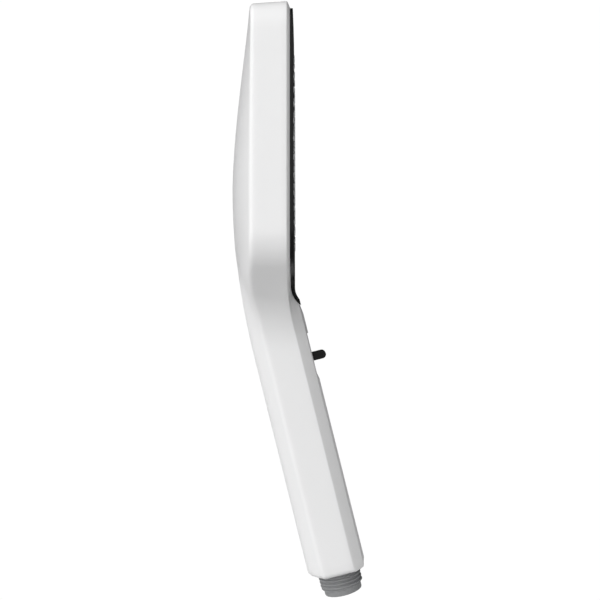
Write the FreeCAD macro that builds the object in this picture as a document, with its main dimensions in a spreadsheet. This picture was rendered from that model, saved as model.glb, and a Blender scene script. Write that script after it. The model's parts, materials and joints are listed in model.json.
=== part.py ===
import FreeCAD, Part
import Sketcher
import math
import os
import re

V = FreeCAD.Vector

# Hand shower with a square head, a thumb slider and a G1/2 hose inlet. Millimetres.
# The origin is the open end of the inlet; +Z is up, the spray face looks along -Y.
# The handle leans back by handleTilt, and "t" below is a distance along its axis.

doc = FreeCAD.newDocument("HandShower")
sheet = doc.addObject("Spreadsheet::Sheet", "Sizes")

sizes = {
    # head, seen from the front
    "headWide": 122, "headHigh": 122, "headTop": 276, "cornerRound": 16.5,
    "neckRound": 28, "shoulderRound": 18.7, "shoulderRise": 19, "shoulderTurn": 60,
    "wallDraft": 4, "shellWall": 2.6,
    # head, front to back
    "rimDepth": 25.8, "bevelDeep": 1.3, "bevelIn": 2.9, "lipDeep": 4.2, "lipIn": 5.4,
    "edgeDepth": 42.5, "spineDepth": 54.5, "spineTopDepth": 45.5,
    # handle
    "handleTilt": 14, "handleWide": 31, "handleFront": 13.9, "handleBack": 14.95,
    "sideFront": 7.9, "flatWide": 20, "facetRise": 5, "backSag": 7.2,
    "handleEnd": 11.2, "handleFloor": 3, "endRound": 2.6,
    # face plate and its tail
    "plateCrown": 24.2, "plateEdge": 24.5, "plateIn": 3.2, "skirtWall": 1.6, "skirtGap": 0.25,
    "skirtDeep": 3.4, "tailOuter": 11, "tailThick": 1.8,
    "tongueWide": 20, "tongueRound": 16, "tongueTurn": 78,
    # nozzles
    "nozzleRings": 6, "nozzleBase": 3.2, "nozzleTip": 2.4, "jetBore": 0.9,
    "nozzleProud": 0.3, "holeGap": 0.15, "matThick": 1.6,
    # water plates behind the face
    "jetPlate": 3, "jetFeed": 2, "gasketThick": 1, "gasketWide": 1.8,
    "zoneInner": 17, "zoneMiddle": 33, "zoneWall": 1.5,
    "zoneRoom": 4.6, "zonePlate": 2.5, "earRadius": 5,
    "screwShank": 2.9, "screwHead": 5.6, "screwHeadHigh": 2.2, "screwLong": 7.5, "bossRadius": 4,
    "feedWide": 22, "feedDeep": 10,
    # valve and slider
    "slideAt": 115.8, "slideTravel": 6, "recessLong": 23.6, "recessDeep": 0.7, "recessRamp": 2.8,
    "tabThick": 4, "tabWide": 8, "tabProud": 6.6, "slotGap": 0.3,
    "valveWide": 22, "valveFront": 7.4, "valveBack": 7.8, "ribWide": 17, "ribBack": 8.9,
    "endWall": 2.5, "spoolForward": 1.5, "spoolRadius": 4.5, "spoolGap": 0.3, "spoolLong": 24,
    "spoolRing": 0.42, "capRadius": 5.7, "capThick": 2.5,
    "carriageWide": 10, "carriageThick": 1.8, "carriageLong": 30, "carriageGap": 0.3,
    "postWide": 3.6, "postThick": 4, "notchRadius": 0.9, "leafThick": 0.4,
    # water way
    "tubeOuter": 10, "tubeBore": 8.7, "tubeStart": 18, "spigotGap": 0.1,
    "ductRadius": 1.7, "ductSpread": 5.6, "ductDeep": 5.2, "ductWide": 17,
    "ductSeal": 0.8,
    # inlet
    "threadRadius": 10.4775, "threadRoot": 9.3, "threadPitch": 1.814, "threadTurns": 4,
    "crestWide": 0.36, "rootWide": 0.3, "lipRadius": 9.25, "lipLong": 2.3, "collarRadius": 10.2,
    "holeRadius": 9.9, "spigotLong": 22, "mouthRadius": 7.6, "mouthLong": 6.5,
    "clipThick": 1.2, "clipRadius": 10.7, "clipGroove": 8.6,
    "cellRadius": 6.4, "cellGap": 0.1, "limiterLong": 3.8, "strainerThick": 0.8,
    "strainerStep": 0.4,
    "checkLong": 13, "checkWall": 1.0, "seatRadius": 3.4, "seatThick": 1.2,
    "poppetRadius": 4.4, "poppetThick": 1.4, "poppetTravel": 2.4, "stemRadius": 1.1,
    "springWire": 0.3, "springRadius": 2.4, "sealRing": 0.72,
}
for row, (name, value) in enumerate(sizes.items(), start=1):
    sheet.set(f"A{row}", name)
    sheet.set(f"B{row}", str(value))
    sheet.setAlias(f"B{row}", name)
doc.recompute()

# sizes that follow from the ones above
follows = {
    "tailCentre": "headTop - headHigh - 4.2",
    "faceHalf": "min(headWide; headHigh)/2",
    "jetRadius": "faceHalf - 8.5",
    "matRadius": "faceHalf - 9.5",
    "zoneOuter": "faceHalf - 10.8",
    "fieldRadius": "faceHalf - 14.5",
    "earOut": "faceHalf - 17",
    "feedTop": "headTop - headHigh/2 - 5",
    "ductTop": "(headTop - headHigh + 6.1)/cos(handleTilt)",
}
known = re.compile(r"\b(" + "|".join(sorted(sizes, key=len, reverse=True)) + r")\b")
tied = re.compile(r"\b(" + "|".join(sorted(follows, key=len, reverse=True)) + r")\b")
probe = doc.addObject("Part::Box", "Probe")


def cells(text):
    """The same sum with each name read from the sheet."""
    while tied.search(text):
        text = tied.sub(lambda found: f"({follows[found.group(1)]})", text)
    return known.sub(r"Sizes.\1", text)


def sheetSum(text):
    """The value of a sum of sizes, as the sheet has it now."""
    probe.setExpression("Length", cells(text) + " + 1000")
    doc.recompute([probe])
    return float(probe.Length) - 1000


def size(name):
    return sheetSum(name) if name in follows else float(getattr(sheet, name))


def bind(thing, **sums):
    for prop, text in sums.items():
        thing.setExpression(prop.replace("_", "."), cells(text))
    return thing


tilt = math.radians(size("handleTilt"))
lean = FreeCAD.Rotation(V(1, 0, 0), -size("handleTilt"))
faceUp = FreeCAD.Rotation(V(1, 0, 0), 90)
faceHigh = size("headTop") - size("headHigh") / 2


def onHandle(t, n=0.0):
    """A placement at t along the handle and n towards its front, with z along the handle."""
    return FreeCAD.Placement(lean.multVec(V(0, -n, t)), lean)


def onFace(depth, x=0.0, up=0.0):
    """A placement on the head at this depth, with z pointing out of the spray face."""
    return FreeCAD.Placement(V(x, depth, faceHigh + up), faceUp)


nodes = []


def keep(thing, label, place):
    for axis in "xyz":
        thing.setExpression(f"Placement.Base.{axis}", None)
    thing.Label = label
    thing.Placement = place
    nodes.append(thing)
    return thing


# ---- sketch helpers ---------------------------------------------------------------------------

def planeOf(body, role):
    return next(f for f in body.Origin.OriginFeatures if f.Role == role)


def outline(body, role, points):
    """A closed sketch whose corners are held by the sums given for them, none negative."""
    sketch = body.newObject("Sketcher::SketchObject", body.Name + "Sketch")
    sketch.AttachmentSupport = [(planeOf(body, role), "")]
    sketch.MapMode = "FlatFace"
    values = [(float(sheetSum(a)), float(sheetSum(b))) for a, b in points]
    count = len(points)
    for i in range(count):
        a, b = values[i], values[(i + 1) % count]
        sketch.addGeometry(Part.LineSegment(V(*a, 0), V(*b, 0)), False)
    for i in range(count):
        sketch.addConstraint(Sketcher.Constraint("Coincident", i, 2, (i + 1) % count, 1))
    for i, (a, b) in enumerate(points):
        for kind, text, value, line in (("DistanceX", a, values[i][0], -2),
                                        ("DistanceY", b, values[i][1], -1)):
            if abs(value) < 1e-9:
                sketch.addConstraint(Sketcher.Constraint("PointOnObject", i, 1, line))
                continue
            index = sketch.addConstraint(Sketcher.Constraint(kind, -1, 1, i, 1, value))
            sketch.setExpression(f"Constraints[{index}]", cells(text))
    return sketch


def lathe(name, points):
    """A body turned about its z axis from corners (radius, height)."""
    body = doc.addObject("PartDesign::Body", name)
    sketch = outline(body, "XZ_Plane", points)
    turn = body.newObject("PartDesign::Revolution", name + "Turn")
    turn.Profile = sketch
    turn.ReferenceAxis = (sketch, ["V_Axis"])
    turn.Angle = 360
    body.Tip = turn
    return body


def box(name, wide, deep, high, x=None, y=None, z="0"):
    """A box centred on x and y unless they are given, standing on z."""
    thing = doc.addObject("Part::Box", name)
    bind(thing, Length=wide, Width=deep, Height=high)
    bind(thing, Placement_Base_x=x or f"-({wide})/2", Placement_Base_y=y or f"-({deep})/2",
         Placement_Base_z=z)
    return thing


def rod(name, radius, high, x="0", y="0", z="0"):
    thing = doc.addObject("Part::Cylinder", name)
    bind(thing, Radius=radius, Height=high)
    bind(thing, Placement_Base_x=x, Placement_Base_y=y, Placement_Base_z=z)
    return thing


def ring(name, radius, thick, x="0", y="0", z="0"):
    thing = doc.addObject("Part::Torus", name)
    bind(thing, Radius1=radius, Radius2=thick)
    bind(thing, Placement_Base_x=x, Placement_Base_y=y, Placement_Base_z=z)
    return thing


def joined(name, things):
    thing = doc.addObject("Part::MultiFuse", name)
    thing.Shapes = things
    return thing


def less(name, base, tools):
    tool = tools[0] if len(tools) == 1 else joined(name + "Tools", tools)
    thing = doc.addObject("Part::Cut", name)
    thing.Base = base
    thing.Tool = tool
    return thing


def group(name, things):
    thing = doc.addObject("Part::Compound", name)
    thing.Links = things
    return thing


# ---- shell ------------------------------------------------------------------------------------

halfWide = size("headWide") / 2
headLow = size("headTop") - size("headHigh")
grip = size("handleWide") / 2
slope = math.tan(math.radians(size("wallDraft")))


def headWire(depth, inset, half=None, neck=None, turn=None):
    """The head's outline and its neck in the plane at this depth, inset on all sides.

    Each side turns in below by the shoulder's angle, runs straight, and turns back to the neck.
    """
    w, top = halfWide - inset, size("headTop") - inset
    r, s = size("cornerRound") - inset, size("shoulderRound") - inset
    if half is None:
        half, neck = grip - inset, neckMost() + inset
    a = math.radians(size("shoulderTurn") if turn is None else turn)
    g, n = half, neck
    low = headLow - 54
    edges = []

    def line(p, q):
        edges.append(Part.LineSegment(V(p[0], depth, p[1]), V(q[0], depth, q[1])).toShape())

    def arc(p, m, q):
        edges.append(Part.Arc(V(p[0], depth, p[1]), V(m[0], depth, m[1]),
                              V(q[0], depth, q[1])).toShape())

    cornerX, cornerUp = w - r, top - r
    shoulderX, shoulderZ = w - s, headLow + size("shoulderRise")
    outX, outZ = shoulderX + s * math.cos(a), shoulderZ - s * math.sin(a)
    inX = g + n - n * math.cos(a)
    inZ = outZ - (outX - inX) / math.tan(a)
    neckZ = inZ - n * math.sin(a)
    right = [(g, low), (g, neckZ), (g + n - n * math.cos(a / 2), neckZ + n * math.sin(a / 2)),
             (inX, inZ), (outX, outZ),
             (shoulderX + s * math.cos(a / 2), shoulderZ - s * math.sin(a / 2)),
             (w, shoulderZ), (w, cornerUp),
             (cornerX + r * math.sqrt(0.5), cornerUp + r * math.sqrt(0.5)), (cornerX, top)]
    left = [(-x, z) for x, z in right]
    line(right[0], right[1])
    arc(right[1], right[2], right[3])
    line(right[3], right[4])
    arc(right[4], right[5], right[6])
    line(right[6], right[7])
    arc(right[7], right[8], right[9])
    line(right[9], left[9])
    arc(left[9], left[8], left[7])
    line(left[7], left[6])
    arc(left[6], left[5], left[4])
    line(left[4], left[3])
    arc(left[3], left[2], left[1])
    line(left[1], left[0])
    line(left[0], right[0])
    return Part.Wire(edges)


def neckMost():
    """The neck's radius, no larger than leaves the shoulder a straight run."""
    room = (halfWide - grip - 1) / (1 - math.cos(math.radians(size("shoulderTurn"))))
    return min(size("neckRound"), room - size("shoulderRound"))


def headBlock(inset, front, back, bevel=False):
    """The drafted head between two depths, inset from the outer wall."""
    rim = size("rimDepth")
    neck = neckMost() + inset

    def drafted(depth):
        return headWire(depth, inset + (depth - rim) * slope, grip - inset, neck)

    wires = [drafted(front), drafted(back)]
    if bevel:
        wires = [headWire(rim, size("bevelIn")), drafted(rim + size("bevelDeep")), drafted(back)]
    return Part.makeLoft(wires, True, True)


def tongueWire(depth, inset):
    """The face plate's outline, whose neck narrows to a tongue, inset on all sides."""
    return headWire(depth, size("plateIn") + inset, size("tongueWide") / 2 - inset,
                    size("tongueRound") + inset, size("tongueTurn"))


def aboveOnly(shape, z):
    return shape.cut(Part.makeBox(200, 200, 200, V(-100, -100, z - 200)))


def spine(z):
    """Depth of the back's middle line at height z."""
    handle = z * math.tan(tilt) + size("handleBack") / math.cos(tilt)
    high = size("headTop")
    apex, apexZ = size("spineDepth"), high - 0.655 * size("headHigh")
    meetZ = headLow - size("neckRound") - 10
    meet = meetZ * math.tan(tilt) + size("handleBack") / math.cos(tilt)
    if z <= meetZ:
        return handle
    if z <= apexZ:
        u = (z - meetZ) / (apexZ - meetZ)
        run = (apexZ - meetZ) * math.tan(tilt)
        return meet + run * (u - 2 * u**2 + u**3) + (apex - meet) * (3 * u**2 - 2 * u**3)
    u = (z - apexZ) / (high - apexZ)
    return apex - (apex - size("spineTopDepth")) * u**1.6


def crown(x, z):
    """How far the back has fallen from its middle line, x to the side at height z."""
    low, high = headLow - size("neckRound") - 8, headLow + size("cornerRound") - 2
    u = min(1.0, max(0.0, (z - low) / (high - low)))
    cushion = (spine(max(z, high)) - size("edgeDepth")) / halfWide**2
    ridge = (size("backSag") - cushion * grip**2) * (1 - u * u * (3 - 2 * u))
    return cushion * x * x + ridge * math.sqrt(2) * x * x / math.sqrt(x**4 + grip**4)


def backSolid(inset, reach):
    """Everything in front of the crowned back, from the handle's end to above the head."""
    rows = []
    low, high = -12.0, size("headTop") + 12
    meetZ, fullZ = headLow - size("neckRound") - 16, headLow - 2
    for i in range(49):
        z = low + (high - low) * i / 48
        u = min(1.0, max(0.0, (z - meetZ) / (fullZ - meetZ)))
        wide = grip + 4 + (halfWide - grip) * u * u * (3 - 2 * u)
        row = []
        for j in range(17):
            x = wide * (j - 8) / 8
            row.append(V(x, spine(z) - inset - crown(x, z), z))
        rows.append(row)
    surface = Part.BSplineSurface()
    surface.interpolate(rows)
    return surface.toShape().extrude(V(0, -reach, 0))


def handleWire(t, inset, deep):
    """The handle's section at t: flat sides, sloped front facets and a shallow ridge."""
    w, f, s = grip, size("handleFront"), size("sideFront")
    c, rise = size("flatWide") / 2, size("facetRise")
    front = [(w, s), (c, s + rise), (0, f), (-c, s + rise), (-w, s)]
    points = [V(x, -n, 0) for x, n in front] + [V(-w, deep, 0), V(w, deep, 0)]
    wire = Part.makePolygon(points + points[:1])
    if inset:
        wire = wire.makeOffset2D(-inset, 2)
    wire.Placement = onHandle(t)
    return wire


def handleBlock(inset, start, end):
    low = Part.Face(handleWire(start, inset, 45))
    return low.extrude(lean.multVec(V(0, 0, end - start)))


rim = size("rimDepth")
handleTop = (size("tailCentre") + 8) / math.cos(tilt)
headOuter = headBlock(0, rim, 64, bevel=True)
outer = headOuter.fuse(handleBlock(0, size("handleEnd"), handleTop))
outer = outer.common(backSolid(0, 140))


def endWire(t, inset):
    """The handle's whole section as a ten-sided outline, for rounding its end."""
    w, f, s = grip, size("handleFront"), size("sideFront")
    c, rise = size("flatWide") / 2, size("facetRise")
    back = size("handleBack")
    half = [(0, f + 0.1), (c + 0.1, s + rise + 0.1), (w + 0.1, s + 0.1),
            (w + 0.1, size("backSag") - back - 0.6), (w * 0.5, -back + 0.9), (0, -back - 0.2)]
    points = half + [(-x, n) for x, n in half[-2:0:-1]]
    wire = Part.makePolygon([V(x, -n, 0) for x, n in points + points[:1]])
    if inset:
        wire = wire.makeOffset2D(-inset, 2)
    wire.Placement = onHandle(t)
    return wire


endAt, roundOff = size("handleEnd"), size("endRound")
endSteps = [(endAt + roundOff * (1 - math.cos(a)), roundOff * (1 - math.sin(a)))
            for a in (math.radians(d) for d in (0, 30, 60, 90))]
rounded = Part.makeLoft([endWire(t, inset) for t, inset in endSteps], True, True)
grown = Part.Face(endWire(endAt + roundOff, 0)).extrude(lean.multVec(V(0, 0, 60)))
beyond = Part.makeBox(200, 200, 400, V(-100, -100, endAt + roundOff + 1))
beyond.Placement = onHandle(0)
outer = outer.common(rounded.fuse([grown, beyond]))

tailAxisY = rim - size("tailOuter")
tailZ = size("tailCentre")


def acrossRod(radius):
    return Part.makeCylinder(radius, 140, V(-70, tailAxisY, tailZ), V(1, 0, 0))


aboveTail = Part.makeBox(140, 80, 200, V(-70, rim - 80, tailZ))
outer = outer.cut(aboveTail.fuse(acrossRod(size("tailOuter"))))

# the hollow: head room behind the rim lip, the lip's opening, and the handle's channel
wall = size("shellWall")
lipBack = rim + size("lipDeep")
room = headBlock(wall, lipBack, 64)
lipInset = size("lipIn") - size("plateIn")
opening = Part.Face(tongueWire(rim - 6, lipInset)).extrude(V(0, 6.5 + size("lipDeep"), 0))
opening = aboveOnly(opening, tailZ + 3)
channel = handleBlock(wall, size("handleEnd") + size("handleFloor"), handleTop + 6)
channel = channel.cut(Part.makeBox(140, 60, 80, V(-70, lipBack - 60, tailZ - 6)))
hollow = room.fuse(channel).common(backSolid(wall, 140)).fuse(opening)
shell = outer.cut(hollow)

# the inlet's hole, the slider's shallow recess and its slot
slideAt, travel = size("slideAt"), size("slideTravel")


def handleBox(wide, n0, n1, t0, t1):
    made = Part.makeBox(wide, n1 - n0, t1 - t0, V(-wide / 2, -n1, t0))
    made.Placement = onHandle(0)
    return made


def handleRod(radius, t0, t1, n=0.0, x=0.0):
    made = Part.makeCylinder(radius, t1 - t0, V(x, -n, t0))
    made.Placement = onHandle(0)
    return made


recessFrom, recessTo = slideAt - size("recessLong") / 2, slideAt + size("recessLong") / 2
recessN, rampTo = size("handleFront") - size("recessDeep"), recessFrom + size("recessRamp")
recessSide = [(24, recessFrom), (size("handleFront"), recessFrom), (recessN, rampTo),
              (recessN, recessTo), (24, recessTo), (24, recessFrom)]
recess = Part.Face(Part.makePolygon([V(-15, -n, t) for n, t in recessSide])).extrude(V(30, 0, 0))
recess.Placement = onHandle(0)
slotHalf = travel + size("tabThick") / 2 + size("slotGap")
slot = handleBox(size("tabWide") + 2 * size("slotGap"), 4, 24, slideAt - slotHalf, slideAt + slotHalf)
inletHole = handleRod(size("holeRadius"), 0, size("handleEnd") + size("handleFloor") + 1)
shell = shell.cut(recess.fuse(slot).fuse(inletHole))

# screw bosses inside the back, in the corners of the head
zoneBack = (rim + size("matThick") + size("jetPlate") + size("gasketThick")
            + size("zoneRoom") + size("zonePlate"))
inner = backSolid(wall - 0.6, 140)
for sx in (-1, 1):
    for sz in (-1, 1):
        x, up = sx * size("earOut"), sz * size("earOut")
        boss = Part.makeCylinder(size("bossRadius"), 30, V(x, zoneBack, faceHigh + up), V(0, 1, 0))
        pilot = Part.makeCylinder(size("screwShank") / 2 + 0.05,
                                  size("screwLong") - size("zonePlate") + 3.4,
                                  V(x, zoneBack - 3, faceHigh + up), V(0, 1, 0))
        boss = boss.common(inner).common(headBlock(0.8, rim + 2, 64))
        shell = shell.fuse(boss).cut(pilot)

bodyShell = doc.addObject("Part::Feature", "bodyShell")
bodyShell.Shape = shell.removeSplitter()
keep(bodyShell, "body_shell", FreeCAD.Placement())

# ---- face plate -------------------------------------------------------------------------------


def plateFront(z):
    """Depth of the plate's middle line at height z: nearly flat, falling back near the top."""
    low, high = tailZ, size("headTop") - size("plateIn")
    u = (z - low) / (high - low)
    start = rim - size("tailThick")
    crownHere = size("plateCrown")
    return start + (crownHere - start) * min(1.0, u / 0.5) + (
        (size("plateEdge") - crownHere) * max(0.0, (u - 0.5) / 0.5)**2.6)


def domeSolid():
    rows = []
    for i in range(25):
        z = tailZ - 6 + (size("headTop") + 6 - tailZ + 6) * i / 24
        fall = (size("plateEdge") - size("plateCrown")) / halfWide**2
        across = [(halfWide + 4) * (j - 6) / 6 for j in range(13)]
        rows.append([V(x, plateFront(z) + fall * x * x, z) for x in across])
    surface = Part.BSplineSurface()
    surface.interpolate(rows)
    return surface.toShape().extrude(V(0, 30, 0))


skirtIn = lipInset + size("skirtGap")
flange = Part.Face(tongueWire(rim, 0)).extrude(V(0, -8, 0))
flange = aboveOnly(flange.common(domeSolid()), tailZ)
skirt = Part.Face(tongueWire(rim - 0.4, skirtIn)).extrude(V(0, size("skirtDeep") + 0.4, 0))
within = Part.Face(tongueWire(rim, skirtIn + size("skirtWall"))).extrude(V(0, 30, 0))
skirt = aboveOnly(skirt, tailZ + 3 + size("skirtGap"))
skirt = skirt.cut(aboveOnly(within, tailZ + 3 + size("skirtGap") + size("skirtWall")))
tail = acrossRod(size("tailOuter") - 0.02).cut(acrossRod(size("tailOuter") - size("tailThick")))
tail = tail.common(Part.Face(tongueWire(rim + 1, 0)).extrude(V(0, -30, 0)))
tail = tail.cut(Part.makeBox(140, 40, 40, V(-70, tailAxisY - 20, tailZ)))
tail = tail.common(handleBox(90, -20, size("handleFront") - 0.2, 60, 200))
plate = flange.fuse(skirt).fuse(tail)


def fieldPoints():
    """The middle of the field, then ring after ring about it, each with six more than the last."""
    rings = int(size("nozzleRings"))
    pitch = size("fieldRadius") / rings
    points = [(0.0, 0.0)]
    for k in range(1, rings + 1):
        for i in range(6 * k):
            angle = 2 * math.pi * (i + 0.5 * (k % 2)) / (6 * k)
            points.append((k * pitch * math.cos(angle), k * pitch * math.sin(angle)))
    return points


field = fieldPoints()


def fieldRods(radius, front, back, tip=None):
    made = []
    for x, up in field:
        at = V(x, back, faceHigh + up)
        if tip is None:
            made.append(Part.makeCylinder(radius, back - front, at, V(0, -1, 0)))
        else:
            made.append(Part.makeCone(radius, tip, back - front, at, V(0, -1, 0)))
    return made


plate = plate.cut(Part.makeCompound(fieldRods(size("nozzleBase") / 2 + size("holeGap"), 10, rim + 1)))
sprayFace = doc.addObject("Part::Feature", "sprayFace")
sprayFace.Shape = plate.removeSplitter()
keep(sprayFace, "spray_face", FreeCAD.Placement())

# the rubber mat: a disc whose nozzles stand through the plate
nozzleFront = size("plateCrown") - size("nozzleProud")
mat = Part.makeCylinder(size("matRadius"), size("matThick"), V(0, rim + size("matThick"), faceHigh),
                        V(0, -1, 0))
fall = (size("plateEdge") - size("plateCrown")) / halfWide**2
stems = []
for x, up in field:
    front = plateFront(faceHigh + up) + fall * x * x - size("nozzleProud")
    stems.append(Part.makeCone(size("nozzleBase") / 2, size("nozzleTip") / 2, rim + 0.5 - front,
                               V(x, rim + 0.5, faceHigh + up), V(0, -1, 0)))
mat = mat.fuse(stems)
mat = mat.cut(Part.makeCompound(fieldRods(size("jetBore") / 2, 10, rim + size("matThick") + 1)))
nozzleMat = doc.addObject("Part::Feature", "nozzleMat")
nozzleMat.Shape = mat.removeSplitter()
keep(nozzleMat, "nozzle_mat", FreeCAD.Placement())

# ---- water plates -----------------------------------------------------------------------------

jetBack = rim + size("matThick") + size("jetPlate")
jetDisc = Part.makeCylinder(size("jetRadius"), size("jetPlate"), V(0, jetBack, faceHigh), V(0, -1, 0))
jetDisc = jetDisc.cut(Part.makeCompound(fieldRods(size("jetFeed") / 2, 10, jetBack + 1)))
jetPlate = doc.addObject("Part::Feature", "jetPlateDisc")
jetPlate.Shape = jetDisc
keep(jetPlate, "jet_plate", FreeCAD.Placement())

# three flat rubber rings part the zones
rings = []
for i, name in enumerate(("zoneInner", "zoneMiddle", "zoneOuter")):
    big = rod(f"zoneRing{i}Out", f"{name} + gasketWide/2", "gasketThick")
    small = rod(f"zoneRing{i}In", f"{name} - gasketWide/2", "gasketThick")
    rings.append(less(f"zoneRing{i}", big, [small]))
keep(group("zoneRings", rings), "zone_gaskets", onFace(jetBack + size("gasketThick")))

# the zone plate: three round walls on a disc, four screw ears and the water feed behind it
zoneHigh = "zoneRoom + zonePlate"
disc = rod("zoneDisc", "jetRadius", "zonePlate")
walls = []
for i, name in enumerate(("zoneInner", "zoneMiddle", "zoneOuter")):
    big = rod(f"zoneWall{i}Out", f"{name} + zoneWall/2", "zoneRoom", z="zonePlate")
    small = rod(f"zoneWall{i}In", f"{name} - zoneWall/2", "zoneRoom + 2", z="zonePlate")
    walls.append(less(f"zoneWall{i}", big, [small]))
ears = []
earHoles = []
corners = ((1, 1), (-1, 1), (-1, -1), (1, -1))
for i, (sx, sy) in enumerate(corners):
    ears.append(rod(f"ear{i}", "earRadius", "zonePlate", f"{sx}*earOut", f"{sy}*earOut"))
    arm = doc.addObject("Part::Box", f"earArm{i}")
    bind(arm, Length="earOut*1.4143 - jetRadius + 4", Width="earRadius*2", Height="zonePlate")
    turn = FreeCAD.Rotation(V(0, 0, 1), math.degrees(math.atan2(sy, sx)))
    arm.Placement = FreeCAD.Placement(
        turn.multVec(V(size("jetRadius") - 4, -size("earRadius"), 0)), turn)
    ears.append(arm)
    earHoles.append(rod(f"earHole{i}", "screwShank/2 + 0.15", "zonePlate + 4", f"{sx}*earOut",
                        f"{sy}*earOut", "-2"))
ductTop, ductSeal = size("ductTop"), size("ductSeal")
ductN = size("ductDeep") / 2 - size("ribBack")
zoneDepth = zoneBack
blockLow = ductTop * math.cos(tilt) - 14 - faceHigh


def inZone(placement):
    """The same placement, seen from the zone plate's own frame."""
    return onFace(zoneDepth).inverse().multiply(placement)


feed = doc.addObject("Part::Box", "feedBlock")
bind(feed, Length="feedWide", Height="feedDeep")
feed.Width = size("feedTop") - faceHigh - blockLow
feed.Placement = FreeCAD.Placement(V(-size("feedWide") / 2, blockLow, -size("feedDeep")),
                                   FreeCAD.Rotation())
solid = joined("zoneSolid", [disc] + walls + ears + [feed])
trim = doc.addObject("Part::Box", "feedTrim")
bind(trim, Length="feedWide*3")
trim.Width = 80
trim.Height = 30
trim.Placement = inZone(onHandle(ductTop + ductSeal)).multiply(
    FreeCAD.Placement(V(-1.5 * size("feedWide"), -40, -30), FreeCAD.Rotation()))
drills = []
zones = ((0, size("zoneInner") * 0.5), (-1, (size("zoneInner") + size("zoneMiddle")) / 2),
         (1, (size("zoneMiddle") + size("zoneOuter")) / 2))
for i, (side, radius) in enumerate(zones):
    x = side * size("ductSpread")
    targetZ = faceHigh - math.sqrt(max(radius, abs(x) + 1)**2 - x**2)
    start = onHandle(ductTop - 1, ductN).multVec(V(x, 0, 0))
    end = V(x, zoneDepth + size("feedDeep") / 2, targetZ)
    way = end - start
    rise = doc.addObject("Part::Cylinder", f"feedRise{i}")
    bind(rise, Radius="ductRadius")
    rise.Height = way.Length
    rise.Placement = inZone(FreeCAD.Placement(start, FreeCAD.Rotation(V(0, 0, 1), way)))
    across = rod(f"feedAcross{i}", "ductRadius + 0.1", "feedDeep/2 + zonePlate + 1", "0", "0",
                 "-feedDeep/2")
    across.setExpression("Placement.Base.x", None)
    across.setExpression("Placement.Base.y", None)
    across.Placement.Base = V(x, targetZ - faceHigh, -size("feedDeep") / 2)
    drills += [rise, across]
zone = less("zoneCut", solid, earHoles + [trim] + drills)
keep(zone, "zone_plate", onFace(zoneDepth))

# four pan-head screws hold the zone plate on the shell's bosses
screws = []
for i, (sx, sy) in enumerate(corners):
    at = (f"{sx}*earOut", f"{sy}*earOut")
    shank = rod(f"screw{i}Shank", "screwShank/2", "screwLong", *at, "zonePlate - screwLong")
    head = rod(f"screw{i}Head", "screwHead/2", "screwHeadHigh", *at, "zonePlate")
    hexHole = doc.addObject("Part::Prism", f"screw{i}Hex")
    bind(hexHole, Circumradius="screwHead/4", Height="screwHeadHigh")
    hexHole.Polygon = 6
    bind(hexHole, Placement_Base_x=at[0], Placement_Base_y=at[1],
         Placement_Base_z="zonePlate + screwHeadHigh/3")
    screws.append(less(f"screw{i}", joined(f"screw{i}Blank", [shank, head]), [hexHole]))
keep(group("zoneScrews", screws), "zone_screws", onFace(zoneDepth))

# ---- inlet ------------------------------------------------------------------------------------

thread = [("mouthRadius", "0"), ("lipRadius", "0"), ("lipRadius", "lipLong"),
          ("threadRoot", "lipLong")]
turns = int(size("threadTurns"))
for i in range(turns):
    start = f"lipLong + rootWide + {i}*threadPitch"
    flank = "(threadPitch - crestWide - rootWide)/2"
    thread += [("threadRoot", start), ("threadRadius", f"{start} + {flank}"),
               ("threadRadius", f"{start} + {flank} + crestWide"),
               ("threadRoot", f"{start} + threadPitch - rootWide")]
threadEnd = f"lipLong + rootWide + {turns}*threadPitch - rootWide"
floorTop = "handleEnd + handleFloor"
spigot = "tubeBore - spigotGap"
groove = "tubeBore - 2*sealRing - 0.06"
grooveWide = "2*sealRing + 0.5"
cellEnd = "mouthLong + limiterLong + checkLong + 1"
strainerSeat = "mouthRadius - strainerStep"
mouthOpen = "mouthLong - strainerThick - strainerStep"
connector = thread + [("collarRadius", threadEnd), ("collarRadius", "handleEnd"),
                      ("holeRadius - 0.1", "handleEnd"), ("holeRadius - 0.1", floorTop),
                      ("clipGroove", floorTop), ("clipGroove", f"{floorTop} + clipThick"),
                      ("clipGroove + 0.6", f"{floorTop} + clipThick"),
                      ("clipGroove + 0.6", f"{floorTop} + clipThick + 1"),
                      (spigot, f"{floorTop} + clipThick + 1")]
sealAt = ["handleEnd + spigotLong - 10.5", "handleEnd + spigotLong - 5"]
for at in sealAt:
    connector += [(spigot, f"{at} - ({grooveWide})/2"), (groove, f"{at} - ({grooveWide})/2"),
                  (groove, f"{at} + ({grooveWide})/2"), (spigot, f"{at} + ({grooveWide})/2")]
connector += [(spigot, "handleEnd + spigotLong"), ("cellRadius - 1.5", "handleEnd + spigotLong"),
              ("cellRadius - 1.5", cellEnd), ("cellRadius", cellEnd), ("cellRadius", "mouthLong"),
              (strainerSeat, "mouthLong"), (strainerSeat, mouthOpen), ("mouthRadius", mouthOpen)]
keep(lathe("connectorBody", connector), "inlet_connector", onHandle(0))

clipRing = less("clipRing", rod("clipOut", "clipRadius", "clipThick"),
                [rod("clipIn", "clipGroove + 0.05", "clipThick + 2", z="-1"),
                 box("clipGap", "7", "20", "clipThick + 2", y="0", z="-1")])
keep(clipRing, "inlet_clip", onHandle(size("handleEnd") + size("handleFloor")))

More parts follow.
